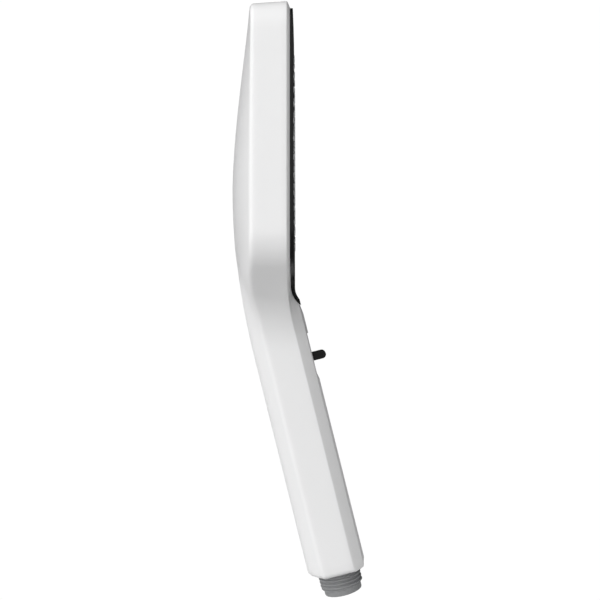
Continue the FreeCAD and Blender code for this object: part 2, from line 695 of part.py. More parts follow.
meshHoles = []
for i in range(3):
    for j in range(max(1, 6 * i)):
        angle = f"360*{j}/{max(1, 6 * i)}"
        meshHoles.append(rod(f"mesh{i}x{j}", "mouthRadius/9", "strainerThick + 2",
                             f"{i}*mouthRadius*0.36*cos({angle})",
                             f"{i}*mouthRadius*0.36*sin({angle})", "-1"))
strainer = less("strainerCut", rod("strainerDisc", f"{strainerSeat} - cellGap", "strainerThick"), meshHoles)
keep(strainer, "inlet_strainer", onHandle(size("mouthLong") - size("strainerThick")))

cell = "cellRadius - cellGap"
limiterRing = "limiterLong/2"
limiter = lathe("limiterBody", [
    ("seatRadius - 1", "0"), (cell, "0"), (cell, f"{limiterRing} - 0.8"),
    (f"{cell} - 1.2", f"{limiterRing} - 0.8"), (f"{cell} - 1.2", f"{limiterRing} + 0.8"),
    (cell, f"{limiterRing} + 0.8"), (cell, "limiterLong"), ("seatRadius", "limiterLong"),
    ("seatRadius - 1", f"{limiterRing}")])
keep(limiter, "flow_limiter", onHandle(size("mouthLong") + 0.1))
keep(ring("limiterRing", "cellRadius - cellGap - 0.6", "0.55"), "limiter_seal",
     onHandle(size("mouthLong") + 0.1 + size("limiterLong") / 2))

# spring-loaded check valve: a housing with a seat and a guided poppet
checkAt = size("mouthLong") + size("limiterLong") + 0.5
bore = "cellRadius - cellGap - checkWall"
housing = lathe("checkTurned", [
    ("seatRadius", "0"), (cell, "0"), (cell, "checkLong"), ("stemRadius + 0.3", "checkLong"),
    ("stemRadius + 0.3", "checkLong - 1.5"), (bore, "checkLong - 1.5"), (bore, "seatThick"),
    ("seatRadius", "seatThick")])
flow = [rod(f"checkFlow{j}", "1.3", "4", f"(stemRadius + 0.3 + {bore})/2*cos(60*{j})",
            f"(stemRadius + 0.3 + {bore})/2*sin(60*{j})", "checkLong - 3") for j in range(6)]
keep(less("checkCut", housing, flow), "check_housing", onHandle(checkAt))
poppet = lathe("poppetBody", [
    ("0", "0"), ("poppetRadius - 0.8", "0"), ("poppetRadius", "0.8"),
    ("poppetRadius", "poppetThick"), ("stemRadius", "poppetThick"),
    ("stemRadius", "checkLong - seatThick"), ("0", "checkLong - seatThick")])
keep(poppet, "check_poppet", onHandle(checkAt + size("seatThick") + 0.05))


def coil(name, radius, wire, pitch, high):
    """A round-wire spring standing on its own z axis."""
    path = Part.makeHelix(pitch, high, radius)
    circle = Part.Wire(Part.Circle(V(radius, 0, 0), V(0, 1, 0), wire).toShape())
    spring = doc.addObject("Part::Feature", name)
    spring.Shape = Part.Wire(path).makePipeShell([circle], True, True)
    return spring


springRoom = size("checkLong") - 1.5 - size("seatThick") - size("poppetThick") - 0.05
springWire = size("springWire")
keep(coil("checkSpringCoil", size("springRadius"), springWire, springRoom / 6,
          springRoom - 2 * springWire - 0.2), "check_spring",
     onHandle(checkAt + size("seatThick") + 0.15 + size("poppetThick") + springWire))

# ---- handle tube ------------------------------------------------------------------------------

valveLow = "slideAt - spoolLong/2 - slideTravel - endWall - 0.5"
valveStart = (size("slideAt") - size("spoolLong") / 2 - size("slideTravel") - size("endWall") - 0.5)
valveHigh = f"spoolLong + 2*slideTravel + 2*endWall + capThick + 1"
valveLong = (size("spoolLong") + 2 * size("slideTravel") + 2 * size("endWall")
             + size("capThick") + 1)
tubeLong = f"({valveLow}) - tubeStart - 0.3"
keep(lathe("tubeBody", [("tubeBore", "0"), ("tubeOuter", "0"), ("tubeOuter", tubeLong),
                        ("tubeBore", tubeLong)]), "water_tube", onHandle(size("tubeStart")))

# ---- valve ------------------------------------------------------------------------------------

mid = f"(slideAt - ({valveLow}))"
block = box("valveBlock", "valveWide", "valveFront + valveBack", valveHigh, y="-valveFront")
rib = box("valveRib", "ribWide", "valveFront + ribBack", valveHigh, y="-valveFront")
spigotHigh = "8"
stub = rod("valveStub", spigot, spigotHigh, z=f"-{spigotHigh}")
stubGroove = less("stubGrooveRing",
                  rod("stubGrooveOut", f"({spigot}) + 1", grooveWide, z=f"-4 - ({grooveWide})/2"),
                  [rod("stubGrooveIn", groove, "6", z="-7")])
leafPosts = [box(f"leafPost{i}", "1.6", "1.8", "2.4", x="carriageWide/2 + 0.5",
                 y="-valveFront - 1.8", z=f"{mid} {sign} 11 - 1.2") for i, sign in
             enumerate("+-")]
spoolBore = rod("spoolBore", "spoolRadius + spoolGap", f"{valveHigh}", y="-spoolForward", z="endWall")
capSeat = rod("capSeat", "capRadius", "capThick + 1", y="-spoolForward",
              z=f"{valveHigh} - capThick")
window = box("valveWindow", "postWide + 0.6", "valveFront + 1", "2*slideTravel + postThick + 0.8",
             y="-valveFront - 0.8", z=f"{mid} - slideTravel - postThick/2 - 0.4")
supply = rod("supplyBore", "spoolRadius - 1", "20", z="-10")
ports = []
ductAt = "ribBack - ductDeep/2"
for i, (side, at) in enumerate(((0, "endWall + 3"), (-1, "endWall + 7"),
                                (1, f"{valveHigh} - capThick - 5"))):
    x = f"{side}*ductSpread"
    ports.append(rod(f"duct{i}", "ductRadius", f"{valveHigh} - ({at}) + 2", x, ductAt, at))
    port = box(f"port{i}", "ductRadius*1.6" if side == 0 else "ductSpread",
               f"{ductAt} + spoolForward", "ductRadius*1.6",
               x=None if side == 0 else ("0" if side > 0 else "-ductSpread"),
               y="-spoolForward", z=at)
    ports.append(port)
valve = less("valveCut", joined("valveSolid", [block, rib, stub] + leafPosts),
             [stubGroove, spoolBore, capSeat, window, supply] + ports)
keep(valve, "valve_body", onHandle(valveStart))
keep(rod("capDisc", "capRadius - 0.05", "capThick"), "valve_cap",
     onHandle(valveStart + valveLong - size("capThick"), size("spoolForward")))

sealRings = [ring(f"tubeSeal{i}", "tubeBore - 0.03 - sealRing", "sealRing",
                  z=f"{at}") for i, at in enumerate(sealAt)]
sealRings.append(ring("tubeSeal2", "tubeBore - 0.03 - sealRing", "sealRing", z=f"({valveLow}) - 4"))
keep(group("tubeSealSet", sealRings), "tube_seals", onHandle(0))

spoolGroove = "spoolRadius - 2*spoolRing + 0.06"
spoolSealAt = ["1.6", "5", "spoolLong - 5", "spoolLong - 1.6"]
spoolShape = [("0", "0"), ("spoolRadius", "0")]
for at in spoolSealAt:
    wide = "(spoolRing + 0.15)"
    spoolShape += [("spoolRadius", f"{at} - {wide}"), (spoolGroove, f"{at} - {wide}"),
                   (spoolGroove, f"{at} + {wide}"), ("spoolRadius", f"{at} + {wide}")]
spoolShape += [("spoolRadius", "spoolLong"), ("0", "spoolLong")]
pocket = box("spoolPocket", "postWide + 0.1", "spoolRadius", "postThick + 0.1", y="-spoolRadius - 1",
             z="spoolLong/2 - postThick/2 - 0.05")
keep(less("spoolCut", lathe("spoolBody", spoolShape), [pocket]), "valve_spool",
     onHandle(size("slideAt") - size("spoolLong") / 2, size("spoolForward")))
keep(group("spoolSealSet", [ring(f"spoolSeal{i}", "spoolRadius + 0.1 - spoolRing", "spoolRing",
                                 z=at) for i, at in enumerate(spoolSealAt)]),
     "spool_seals", onHandle(size("slideAt") - size("spoolLong") / 2, size("spoolForward")))

# the carriage rides on the valve block and its post drives the spool
plateY = "-carriageGap - carriageThick"
carriage = box("carriagePlate", "carriageWide", "carriageThick", "carriageLong", y=plateY,
               z="-carriageLong/2")
post = box("carriagePost", "postWide", "valveFront - spoolForward - 2.4 + carriageGap",
           "postThick", y="-carriageGap - 0.01", z="-postThick/2")
notches = [rod(f"notch{i}", "notchRadius", "carriageThick + 4", z="0") for i in range(3)]
for i, notch in enumerate(notches):
    for prop in ("x", "y", "z"):
        notch.setExpression(f"Placement.Base.{prop}", None)
    notch.Placement = FreeCAD.Placement(
        V(size("carriageWide") / 2 + 0.25, -4, (i - 1) * size("slideTravel")),
        FreeCAD.Rotation(V(1, 0, 0), -90))
keep(less("carriageCut", joined("carriageSolid", [carriage, post]), notches), "slide_carriage",
     onHandle(size("slideAt"), size("valveFront")))

tabHigh = ("handleFront - recessDeep + tabProud - tabThick/2"
           " - valveFront - carriageGap - carriageThick")
tabBar = box("tabBar", "tabWide", tabHigh, "tabThick", y=f"-({tabHigh})", z="-tabThick/2")
tabEnd = doc.addObject("Part::Cylinder", "tabEnd")
bind(tabEnd, Radius="tabThick/2", Height="tabWide", Placement_Base_x="-tabWide/2",
     Placement_Base_y=f"-({tabHigh})")
tabEnd.Placement.Rotation = FreeCAD.Rotation(V(0, 1, 0), 90)
keep(joined("tabSolid", [tabBar, tabEnd]), "thumb_tab",
     onHandle(size("slideAt"), size("valveFront") + size("carriageGap") + size("carriageThick")))

# a leaf spring beside the carriage rests in its middle notch
leaf = box("leafStrip", "leafThick", "1.4", "24.4", x="carriageWide/2 + 0.5 - leafThick",
           y="-1.8", z="-12.2")
bump = doc.addObject("Part::Cylinder", "leafBump")
bind(bump, Radius="notchRadius - 0.15", Height="1.4", Placement_Base_x="carriageWide/2 + 0.25",
     Placement_Base_y="-1.8")
bump.Placement.Rotation = FreeCAD.Rotation(V(1, 0, 0), -90)
bumpTrim = box("bumpTrim", "3", "4", "4", x="carriageWide/2 + 0.5", y="-3", z="-2")
keep(less("leafCut", joined("leafSolid", [leaf, bump]), [bumpTrim]), "detent_leaf",
     onHandle(size("slideAt"), size("valveFront")))

# ---- duct from the valve up to the zone plate -------------------------------------------------

ductStart = valveStart + valveLong + 0.3
ductHigh = f"ductTop - ({ductStart})"
ductBox = doc.addObject("Part::Box", "ductBox")
bind(ductBox, Length="ductWide", Width="ductDeep", Placement_Base_x="-ductWide/2",
     Placement_Base_y="ribBack - ductDeep")
ductBox.Height = size("ductTop") - ductStart
ductBores = [rod(f"ductBore{i}", "ductRadius", "ductTop", f"{i - 1}*ductSpread", ductAt, "-2")
             for i in range(3)]
keep(less("ductCut", ductBox, ductBores), "feed_duct", onHandle(ductStart))
sealBores = [rod(f"sealBore{i}", "ductRadius + 0.3", "ductSeal + 2", f"{i - 1}*ductSpread",
                 ductAt, "-1") for i in range(3)]
sealPad = box("sealPad", "ductWide", "ductDeep", "ductSeal", y="ribBack - ductDeep")
keep(less("sealCut", sealPad, sealBores), "duct_seal", onHandle(ductTop))

# ---- checks and files -------------------------------------------------------------------------

doc.removeObject(probe.Name)
doc.recompute()
for thing in doc.Objects:
    bad = [state for state in thing.State if state in ("Invalid", "Error")]
    if bad:
        raise RuntimeError(f"{thing.Label} is {bad}")
os.makedirs("parts", exist_ok=True)
for node in nodes:
    shape = node.Shape
    if shape.isNull() or not shape.isValid() or shape.Volume <= 0:
        raise RuntimeError(f"{node.Label} has no valid solid")
    shape.exportStep(f"parts/{node.Label}.step")
    print(f"{node.Label}: {len(shape.Solids)} solid, {shape.Volume:.0f} mm3")
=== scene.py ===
import bpy, bmesh, json, math
from mathutils import Matrix, Vector


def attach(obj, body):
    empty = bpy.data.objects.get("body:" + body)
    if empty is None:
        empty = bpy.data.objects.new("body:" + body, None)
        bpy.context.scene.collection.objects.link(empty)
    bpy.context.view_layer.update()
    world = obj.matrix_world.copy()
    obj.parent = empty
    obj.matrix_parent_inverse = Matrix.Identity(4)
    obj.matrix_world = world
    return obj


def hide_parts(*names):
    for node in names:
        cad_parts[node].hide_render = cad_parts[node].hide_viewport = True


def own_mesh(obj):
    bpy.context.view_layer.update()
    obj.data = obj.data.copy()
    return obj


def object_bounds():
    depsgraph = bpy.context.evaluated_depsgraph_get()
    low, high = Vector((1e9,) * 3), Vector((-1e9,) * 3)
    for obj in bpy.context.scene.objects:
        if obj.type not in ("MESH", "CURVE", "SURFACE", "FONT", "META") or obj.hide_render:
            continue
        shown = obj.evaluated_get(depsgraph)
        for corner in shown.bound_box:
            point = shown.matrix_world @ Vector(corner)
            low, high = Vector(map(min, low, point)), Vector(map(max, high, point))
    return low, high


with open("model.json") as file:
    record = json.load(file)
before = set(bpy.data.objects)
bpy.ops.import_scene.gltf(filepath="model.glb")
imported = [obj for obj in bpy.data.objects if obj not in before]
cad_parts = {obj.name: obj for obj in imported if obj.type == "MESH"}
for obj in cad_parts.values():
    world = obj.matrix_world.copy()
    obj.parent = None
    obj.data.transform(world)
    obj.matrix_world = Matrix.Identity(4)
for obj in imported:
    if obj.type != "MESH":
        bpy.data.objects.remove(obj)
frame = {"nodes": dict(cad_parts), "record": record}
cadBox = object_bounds()
scene = bpy.context.scene

# camera: level, on the object's left side, a hand's width to the front of the middle
cameraSettings = {"place": (-0.457, 0.0215, 0.1433), "lens": 55.5, "sensor": 36.0}
cameraData = bpy.data.cameras.new("sideCamera")
cameraData.lens = cameraSettings["lens"]
cameraData.sensor_width = cameraSettings["sensor"]
cameraData.sensor_fit = "HORIZONTAL"
cameraData.clip_start = 0.01
camera = bpy.data.objects.new("sideCamera", cameraData)
camera.matrix_world = Matrix.Translation(cameraSettings["place"]) @ Matrix(
    ((0, 0, -1, 0), (-1, 0, 0, 0), (0, 1, 0, 0), (0, 0, 0, 1)))
scene.collection.objects.link(camera)
scene.camera = camera
scene.view_settings.view_transform = "Standard"
scene.view_settings.look = "None"
print("frame loaded and camera set")


def newGroup(name, inputs, outputs):
    group = bpy.data.node_groups.new(name, "ShaderNodeTree")
    for kind, label, value in inputs:
        socket = group.interface.new_socket(label, in_out="INPUT", socket_type=kind)
        socket.default_value = value
    for kind, label in outputs:
        group.interface.new_socket(label, in_out="OUTPUT", socket_type=kind)
    return group, group.nodes.new("NodeGroupInput"), group.nodes.new("NodeGroupOutput")


def node(tree, kind, **settings):
    made = tree.nodes.new(kind)
    for key, value in settings.items():
        if key.startswith("in_"):
            made.inputs[key[3:].replace("_", " ")].default_value = value
        else:
            setattr(made, key, value)
    return made


# moulded plastic: a slow drift of colour and gloss, fine grain, and edges polished by use
def buildMoulded():
    group, source, sink = newGroup(
        "mouldedSurface",
        [("NodeSocketColor", "Colour", (0.8, 0.8, 0.8, 1)), ("NodeSocketFloat", "Colour shift", 0.02),
         ("NodeSocketFloat", "Roughness", 0.3), ("NodeSocketFloat", "Roughness shift", 0.06),
         ("NodeSocketFloat", "Grain size", 900.0), ("NodeSocketFloat", "Wear", 0.0)],
        [("NodeSocketColor", "Colour"), ("NodeSocketFloat", "Roughness"),
         ("NodeSocketFloat", "Height")])
    link = group.links.new
    place = node(group, "ShaderNodeTexCoord")
    broad = node(group, "ShaderNodeTexNoise", in_Scale=28.0, in_Detail=3.0, in_Roughness=0.55)
    fine = node(group, "ShaderNodeTexNoise", in_Detail=2.0, in_Roughness=0.5)
    link(place.outputs["Object"], broad.inputs["Vector"])
    link(place.outputs["Object"], fine.inputs["Vector"])
    link(source.outputs["Grain size"], fine.inputs["Scale"])
    centred = node(group, "ShaderNodeMath", operation="SUBTRACT")
    link(broad.outputs["Fac"], centred.inputs[0])
    centred.inputs[1].default_value = 0.5
    shift = node(group, "ShaderNodeMath", operation="MULTIPLY_ADD")
    link(centred.outputs[0], shift.inputs[0])
    link(source.outputs["Colour shift"], shift.inputs[1])
    shift.inputs[2].default_value = 1.0
    tone = node(group, "ShaderNodeVectorMath", operation="SCALE")
    link(source.outputs["Colour"], tone.inputs[0])
    link(shift.outputs[0], tone.inputs["Scale"])
    edges = node(group, "ShaderNodeNewGeometry")
    ramp = node(group, "ShaderNodeMapRange", in_From_Min=0.52, in_From_Max=0.6)
    link(edges.outputs["Pointiness"], ramp.inputs["Value"])
    worn = node(group, "ShaderNodeMath", operation="MULTIPLY")
    link(ramp.outputs["Result"], worn.inputs[0])
    link(source.outputs["Wear"], worn.inputs[1])
    rough = node(group, "ShaderNodeMath", operation="MULTIPLY_ADD")
    link(centred.outputs[0], rough.inputs[0])
    link(source.outputs["Roughness shift"], rough.inputs[1])
    link(source.outputs["Roughness"], rough.inputs[2])
    polished = node(group, "ShaderNodeMath", operation="SUBTRACT", use_clamp=True)
    link(rough.outputs[0], polished.inputs[0])
    link(worn.outputs[0], polished.inputs[1])
    link(tone.outputs[0], sink.inputs["Colour"])
    link(polished.outputs[0], sink.inputs["Roughness"])
    link(fine.outputs["Fac"], sink.inputs["Height"])
    return group


mouldedSurface = buildMoulded()


def mouldedMaterial(name, colour, roughness, grain, depth, shift=0.02, coat=0.0, wear=0.03,
                    roughShift=0.06, metallic=0.0, specular=0.5, sheen=0.0):
    material = bpy.data.materials.new(name)
    material.use_nodes = True
    tree = material.node_tree
    shader = tree.nodes["Principled BSDF"]
    skin = tree.nodes.new("ShaderNodeGroup")
    skin.node_tree = mouldedSurface
    skin.inputs["Colour"].default_value = (*colour, 1)
    skin.inputs["Colour shift"].default_value = shift
    skin.inputs["Roughness"].default_value = roughness
    skin.inputs["Roughness shift"].default_value = roughShift
    skin.inputs["Grain size"].default_value = grain
    skin.inputs["Wear"].default_value = wear
    bump = node(tree, "ShaderNodeBump", in_Strength=0.35, in_Distance=depth)
    link = tree.links.new
    link(skin.outputs["Height"], bump.inputs["Height"])
    link(skin.outputs["Colour"], shader.inputs["Base Color"])
    link(skin.outputs["Roughness"], shader.inputs["Roughness"])
    link(bump.outputs["Normal"], shader.inputs["Normal"])
    shader.inputs["Metallic"].default_value = metallic
    shader.inputs["Specular IOR Level"].default_value = specular
    shader.inputs["Coat Weight"].default_value = coat
    shader.inputs["Coat Roughness"].default_value = 0.06
    shader.inputs["Sheen Weight"].default_value = sheen
    return material


finishes = {
    "shell_white": mouldedMaterial("whiteGloss", (0.86, 0.86, 0.862), 0.3, 1500.0, 0.00002,
                                   specular=0.22, coat=0.04),
    "face_black": mouldedMaterial("blackGloss", (0.006, 0.006, 0.0064), 0.25, 1800.0, 0.00002,
                                  shift=0.3, specular=0.12, coat=0.03),
    "silicone_grey": mouldedMaterial("softSilicone", (0.6, 0.61, 0.62), 0.55, 2600.0, 0.00004,
                                     shift=0.12, wear=0.0, sheen=0.15),
    "acetal_natural": mouldedMaterial("naturalAcetal", (0.82, 0.81, 0.77), 0.42, 1600.0, 0.00003,
                                      shift=0.04),
    "rubber_black": mouldedMaterial("ringRubber", (0.02, 0.02, 0.021), 0.5, 3200.0, 0.00004, shift=0.3),
    "stainless": mouldedMaterial("brightStainless", (0.62, 0.61, 0.6), 0.25, 2400.0, 0.00002,
                                 shift=0.06, metallic=1.0),
    "inlet_grey": mouldedMaterial("greyInlet", (0.29, 0.294, 0.3), 0.4, 2000.0, 0.00003, shift=0.12,
                                  wear=0.08),
    "limiter_grey": mouldedMaterial("greyAcetal", (0.33, 0.34, 0.36), 0.4, 1800.0, 0.00003,
                                    shift=0.08),
    "slider_black": mouldedMaterial("sliderBlack", (0.006, 0.006, 0.006), 0.45, 2200.0, 0.00003,
                                    shift=0.3, specular=0.15),
}
slotOf = {part["node"]: part["material_slot"] for part in frame["record"]["subparts"]}
for name, slotName in slotOf.items():
    piece = frame["nodes"][name]
    piece.data.materials.clear()
    piece.data.materials.append(finishes[slotName])
print("materials placed")

# helpers for meshes; shapes are worked out in millimetres and placed in metres
def clamp(value, low=0.0, high=1.0):
    return min(high, max(low, value))


def smooth(value):
    value = clamp(value)
    return value * value * (3 - 2 * value)


def softMin(a, b, width):
    mix = clamp(0.5 + 0.5 * (b - a) / width)
    return b + (a - b) * mix - width * mix * (1 - mix)


def meshObject(name, points, faces, material):
    mesh = bpy.data.meshes.new(name)
    mesh.from_pydata([tuple(c * 0.001 for c in p) for p in points], [], faces)
    mesh.validate()
    mesh.materials.append(material)
    made = bpy.data.objects.new(name, mesh)
    scene.collection.objects.link(made)
    return made


def finishMesh(obj, creaseAngle=32.0):
    # live modifiers become plain faces, and only true creases stay sharp
    shaped = bpy.data.meshes.new_from_object(obj.evaluated_get(bpy.context.evaluated_depsgraph_get()))
    obj.modifiers.clear()
    obj.data = shaped
    work = bmesh.new()
    work.from_mesh(shaped)
    for face in work.faces:
        face.smooth = True
    for edge in work.edges:
        edge.smooth = not (len(edge.link_faces) == 2
                           and edge.calc_face_angle(0.0) > math.radians(creaseAngle))
    work.to_mesh(shaped)
    work.free()
    return obj


# body shell: a smooth outer skin cut by the moulded hollow
shell = {
    "top": 276.0, "headHigh": 122.0, "halfWide": 61.0, "cornerRound": 16.5, "shoulderRound": 18.7,
    "shoulderHeight": 173.0, "shoulderTurn": 60.0, "neckRound": 28.0, "grip": 15.5,
    "rim": 25.8, "bevelDeep": 1.3, "wallDraft": 4.0, "edgeDepth": 42.5, "spineDepth": 54.5,
    "spineTopDepth": 45.5, "spineCurl": 1.6, "apexShare": 0.655, "tilt": 14.0,
    "handleFront": 13.9, "handleBack": 14.95,
    "sideFront": 7.9, "facetRise": 5.0, "backSag": 7.2, "endAt": 11.2, "tongueHalf": 10.0,
    "tongueRound": 16.0, "tongueTurn": 78.0, "plateIn": 3.2, "tailOuter": 11.0,
    "tailHeight": 149.8, "under": 0.08, "wall": 2.6, "backRing": 2.9, "endRing": 4.2, "edgeRound": 1.7,
    "endRound": 2.6, "creaseRound": 0.45, "faceRound": 0.3, "creaseBlend": 3.0,
    # where the sections turn level, where the front ridge fades, and how the mesh is divided
    "leanFrom": 96.0, "leanOver": 38.0, "ridgeEnd": 136.0, "ridgeFade": 8.0, "plateLap": 0.25,
    "endCorner": 5.5, "columns": 28, "wallSteps": 5, "firstRow": 2.5, "rowStep": 4.6,
    "lastRow": 6.0,
}
tiltTan = math.tan(math.radians(shell["tilt"]))
tiltCos = math.cos(math.radians(shell["tilt"]))
draft = math.tan(math.radians(shell["wallDraft"]))
headLow = shell["top"] - shell["headHigh"]
meetHeight = headLow - shell["neckRound"] - 10


def backLine(z):
    handle = z * tiltTan + shell["handleBack"] / tiltCos
    apexZ = shell["top"] - shell["apexShare"] * shell["headHigh"]
    meet = meetHeight * tiltTan + shell["handleBack"] / tiltCos
    if z <= meetHeight:
        return handle
    if z <= apexZ:
        u = (z - meetHeight) / (apexZ - meetHeight)
        run = (apexZ - meetHeight) * tiltTan
        return (meet + run * (u - 2 * u ** 2 + u ** 3)
                + (shell["spineDepth"] - meet) * (3 * u ** 2 - 2 * u ** 3))
    u = (z - apexZ) / (shell["top"] - apexZ)
    fall = shell["spineDepth"] - shell["spineTopDepth"]
    return shell["spineDepth"] - fall * u ** shell["spineCurl"]


def backDepth(x, z):
    low, high = headLow - shell["neckRound"] - 8, headLow + shell["cornerRound"] - 2
    u = clamp((z - low) / (high - low))
    cushion = (backLine(max(z, high)) - shell["edgeDepth"]) / shell["halfWide"] ** 2
    ridge = (shell["backSag"] - cushion * shell["grip"] ** 2) * (1 - u * u * (3 - 2 * u))
    fall = cushion * x * x + ridge * math.sqrt(2) * x * x / math.sqrt(x ** 4 + shell["grip"] ** 4)
    return backLine(z) - fall


def creaseDepth(z):
    # where the side wall meets the front bevel or the handle's front facet
    handle = z * tiltTan - shell["sideFront"] / tiltCos
    return softMin(handle, shell["rim"] + shell["bevelDeep"], shell["creaseBlend"])


def frontDepth(z):
    # where the bevel or facet meets the face plate or the handle's front
    flat = z * tiltTan - (shell["sideFront"] + shell["facetRise"]) / tiltCos
    if z >= shell["tailHeight"]:
        return shell["rim"]
    drop = shell["tailHeight"] - z
    arc = (shell["rim"] - shell["tailOuter"] + math.sqrt(max(0.0, shell["tailOuter"] ** 2 - drop ** 2))
           if drop < shell["tailOuter"] else -1e3)
    return min(shell["rim"], max(arc, flat))


def outlineRight(half, neck, turn, inset):
    # points up one side of the head, each with the way out of the wall
    a = math.radians(turn)
    w = shell["halfWide"] - inset
    r, s = shell["cornerRound"] - inset, shell["shoulderRound"] - inset
    outX = shell["halfWide"] - shell["shoulderRound"] + s * math.cos(a)
    outZ = shell["shoulderHeight"] - s * math.sin(a)
    inX = half + neck - neck * math.cos(a)
    inZ = outZ - (outX - inX) / math.tan(a)
    neckZ = inZ - neck * math.sin(a)
    arcSteps, flankSteps, shoulderSteps = 18, 8, 14
    points = []
    for i in range(arcSteps + 1):
        b = a * i / arcSteps
        points.append((half + neck - neck * math.cos(b), neckZ + neck * math.sin(b),
                       math.cos(b), -math.sin(b), i / arcSteps))
    for i in range(1, flankSteps + 1):
        f = i / flankSteps
        points.append((inX + (outX - inX) * f, inZ + (outZ - inZ) * f, math.cos(a), -math.sin(a), 1.0))
    for i in range(1, shoulderSteps + 1):
        b = a * (1 - i / shoulderSteps)
        points.append((w - s + s * math.cos(b), shell["shoulderHeight"] - s * math.sin(b),
                       math.cos(b), -math.sin(b), 1.0))
    cornerUp = shell["top"] - shell["cornerRound"]
    for i in range(1, arcSteps + 1):
        points.append((w, shell["shoulderHeight"] + (cornerUp - shell["shoulderHeight"]) * i / arcSteps,
                       1.0, 0.0, 1.0))
    for i in range(1, arcSteps + 1):
        b = math.pi / 2 * i / arcSteps
        points.append((w - r + r * math.cos(b), cornerUp + r * math.sin(b),
                       math.cos(b), math.sin(b), 1.0))
    return points, neckZ


silhouette, neckStart = outlineRight(shell["grip"], shell["neckRound"], shell["shoulderTurn"], 0.0)
tongue, tongueStart = outlineRight(shell["tongueHalf"], shell["tongueRound"], shell["tongueTurn"],
                                   shell["plateIn"] - shell["plateLap"])


def tongueHalfAt(z):
    if z <= tongueStart:
        return shell["tongueHalf"]
    for low, high in zip(tongue, tongue[1:]):
        if low[1] <= z <= high[1]:
            f = (z - low[1]) / max(1e-6, high[1] - low[1])
            return low[0] + (high[0] - low[0]) * f
    return 0.0


def insetToTongue(x, z, nx, nz):
    low, high = 0.5, 14.0
    for _ in range(30):
        middle = (low + high) / 2
        if x - nx * middle > tongueHalfAt(z - nz * middle):
            low = middle
        else:
            high = middle
    return low


startHeight = shell["endAt"] * tiltCos
handleRows = [startHeight, startHeight + shell["endRing"] + shell["firstRow"]]
while handleRows[-1] < neckStart - shell["lastRow"]:
    handleRows.append(handleRows[-1] + shell["rowStep"])
rows = [(shell["grip"], s, 1.0, 0.0, 0.0) for s in handleRows] + silhouette


def leanAt(height):
    # sections stand square to the handle and turn level in the neck
    return tiltTan * (1 - smooth((height - shell["leanFrom"]) / shell["leanOver"]))


def onSurface(x, height, depthOf):
    lean = leanAt(height)
    reference = height * tiltTan
    y = reference
    for _ in range(12):
        z = height + lean * (reference - y)
        y = depthOf(x, z)
    return (x, y, height + lean * (reference - y))


